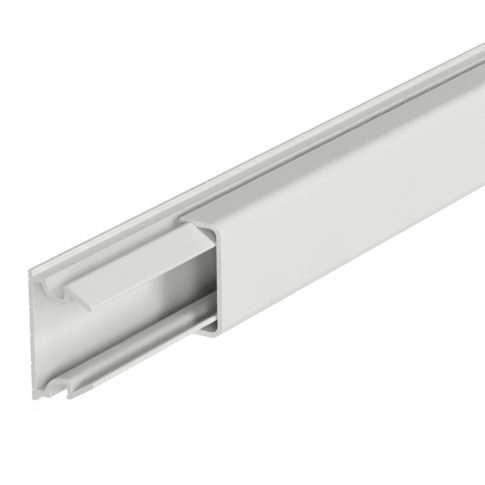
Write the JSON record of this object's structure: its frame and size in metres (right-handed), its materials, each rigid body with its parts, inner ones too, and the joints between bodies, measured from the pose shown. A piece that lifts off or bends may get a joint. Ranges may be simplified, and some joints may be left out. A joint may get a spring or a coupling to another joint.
{
  "type": "cable trunking",
  "caption": "Plastic cable trunking: a flat-backed channel base with clip rails, and a clip-on cover slid back from its end.",
  "frame": {"origin": "centre of the whole length and height, on the wall face of the base", "axes": "+X along the length, from the end where the cover is slid back to the end that it overhangs; +Y across the height; +Z out from the wall face to the cover's front"},
  "size_m": [2.0564, 0.035, 0.021],
  "materials": {
    "base_plastic": "satin",
    "cover_plastic": "satin"
  },
  "bodies": {
    "base": {"trunking_base": "base_plastic"},
    "cover": {"trunking_cover": "cover_plastic"}
  },
  "joints": [
    {"name": "cover_slide", "type": "slide", "parent": "base", "child": "cover", "axis": [1, 0, 0], "range_m": [-0.0565, 0.9]}
  ]
}
